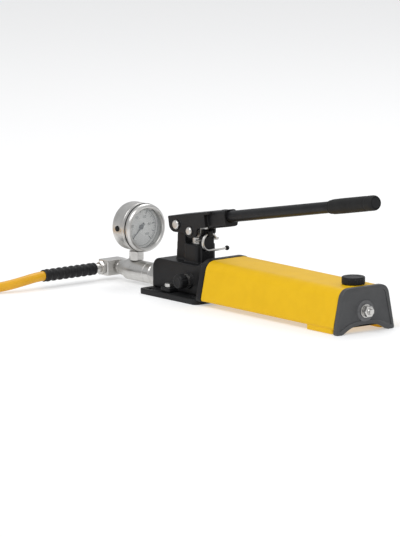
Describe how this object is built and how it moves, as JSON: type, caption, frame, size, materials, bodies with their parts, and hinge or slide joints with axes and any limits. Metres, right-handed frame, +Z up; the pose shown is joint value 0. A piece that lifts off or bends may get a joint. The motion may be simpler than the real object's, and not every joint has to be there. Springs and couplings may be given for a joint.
{
  "type": "hydraulic hand pump",
  "caption": "Two-speed lever hand pump with a moulded oil reservoir, release valve, filler cap, side-facing pressure gauge and a flexible outlet hose ending in a coupler.",
  "frame": {"origin": "middle of the base plate's underside, on the surface the pump stands on", "axes": "+X from the head towards the back of the reservoir, +Y away from the release valve, +Z up"},
  "size_m": [1.0095, 0.3912, 0.2249],
  "materials": {
    "yellow_reservoir": "moulded gloss",
    "black_paint": "satin paint over a casting",
    "black_plastic": "matte",
    "grey_plastic": "matte moulded",
    "rubber": "matte",
    "steel": "machined and plated",
    "dark_steel": "blackened",
    "hose": "smooth jacket",
    "dial": "printed",
    "window": "clear"
  },
  "bodies": {
    "pump_body": {"base_plate": "black_plastic", "base_screw_left": "steel", "base_screw_right": "steel", "head_casting": "black_paint", "gland_nut": "dark_steel", "wiper_seal": "rubber", "fulcrum_pin": "steel", "fulcrum_pin_clip": "steel", "handle_stop_pin": "steel", "relief_valve_plug": "steel", "inlet_check_ball": "steel", "outlet_check_ball": "steel", "release_packing_nut": "steel", "outlet_check_spring": "steel", "front_flange": "black_paint", "front_gasket": "rubber", "rear_gasket": "rubber", "reservoir": "yellow_reservoir", "end_cap": "grey_plastic", "tie_rod": "steel", "tie_rod_washer": "steel", "tie_rod_nut": "steel", "suction_tube": "steel", "suction_strainer": "steel", "outlet_fitting": "steel", "gauge_adapter": "steel", "elbow": "steel", "gauge_case": "steel", "gauge_case_plug": "rubber", "gauge_stem": "steel", "bourdon_tube": "steel", "gauge_gasket": "rubber", "gauge_bezel": "steel", "gauge_window": "window", "gauge_dial": "dial", "hose_nut": "steel", "hose_ferrule": "steel", "bend_restrictor": "black_plastic", "far_bend_restrictor": "black_plastic", "far_ferrule": "steel", "coupler_body": "steel", "hose": "hose", "hose_coil": "hose"},
    "handle": {"handle_beam": "black_paint", "handle_tube": "black_paint", "handle_grip": "rubber", "grip_end_plug": "black_plastic", "handle_set_screw": "dark_steel", "crosshead_pin": "steel", "crosshead_pin_clip": "steel"},
    "plunger_body": {"plunger": "steel", "plunger_seal": "rubber"},
    "lock_ring_body": {"lock_ring": "steel", "lock_ring_knob": "black_plastic"},
    "release_valve": {"release_stem": "steel", "release_knob": "black_plastic"},
    "filler_cap_seal": {"filler_cap_gasket": "rubber"},
    "filler_cap_body": {"filler_cap": "black_plastic"},
    "gauge_needle": {"gauge_pointer": "black_plastic"},
    "coupler_sleeve": {"coupler_collar": "steel"}
  },
  "joints": [
    {"name": "handle_swing", "type": "hinge", "parent": "pump_body", "child": "handle", "pos_m": [-0.0214, 0, 0.1165], "axis": [0, -1, 0], "range_deg": [-11, 33]},
    {"name": "plunger_stroke", "type": "slide", "parent": "pump_body", "child": "plunger_body", "axis": [0, 0, 1], "range_m": [-0.0065, 0.0195]},
    {"name": "lock_ring_swing", "type": "hinge", "parent": "pump_body", "child": "lock_ring_body", "pos_m": [0.0365, 0, 0.107], "axis": [0, -1, 0], "range_deg": [0, 90]},
    {"name": "release_valve_turn", "type": "hinge", "parent": "pump_body", "child": "release_valve", "pos_m": [0.024, -0.043, 0.032], "axis": [0, -1, 0], "range_deg": [0, 360]},
    {"name": "filler_cap_lift", "type": "slide", "parent": "pump_body", "child": "filler_cap_seal", "axis": [0, 0, 1], "range_m": [0, 0.0121]},
    {"name": "filler_cap_turn", "type": "hinge", "parent": "filler_cap_seal", "child": "filler_cap_body", "pos_m": [0.402, 0, 0.081], "axis": [0, 0, 1], "range_deg": [0, 720]},
    {"name": "gauge_needle_swing", "type": "hinge", "parent": "pump_body", "child": "gauge_needle", "pos_m": [-0.1535, 0, 0.094], "axis": [-1, 0, 0], "range_deg": [0, 270], "stiffness_Nm_per_rad": 0.002, "springref_deg": -17.19},
    {"name": "coupler_collar_spin", "type": "hinge", "parent": "pump_body", "child": "coupler_sleeve", "pos_m": [-0.5356, -0.012, 0.0144], "axis": [0, 1, 0], "continuous": true}
  ],
  "couplings": [
    {"joint": "plunger_stroke", "follows": "handle_swing", "m_per_rad": 0.0332},
    {"joint": "filler_cap_lift", "follows": "filler_cap_turn", "m_per_rad": 0.000955}
  ]
}
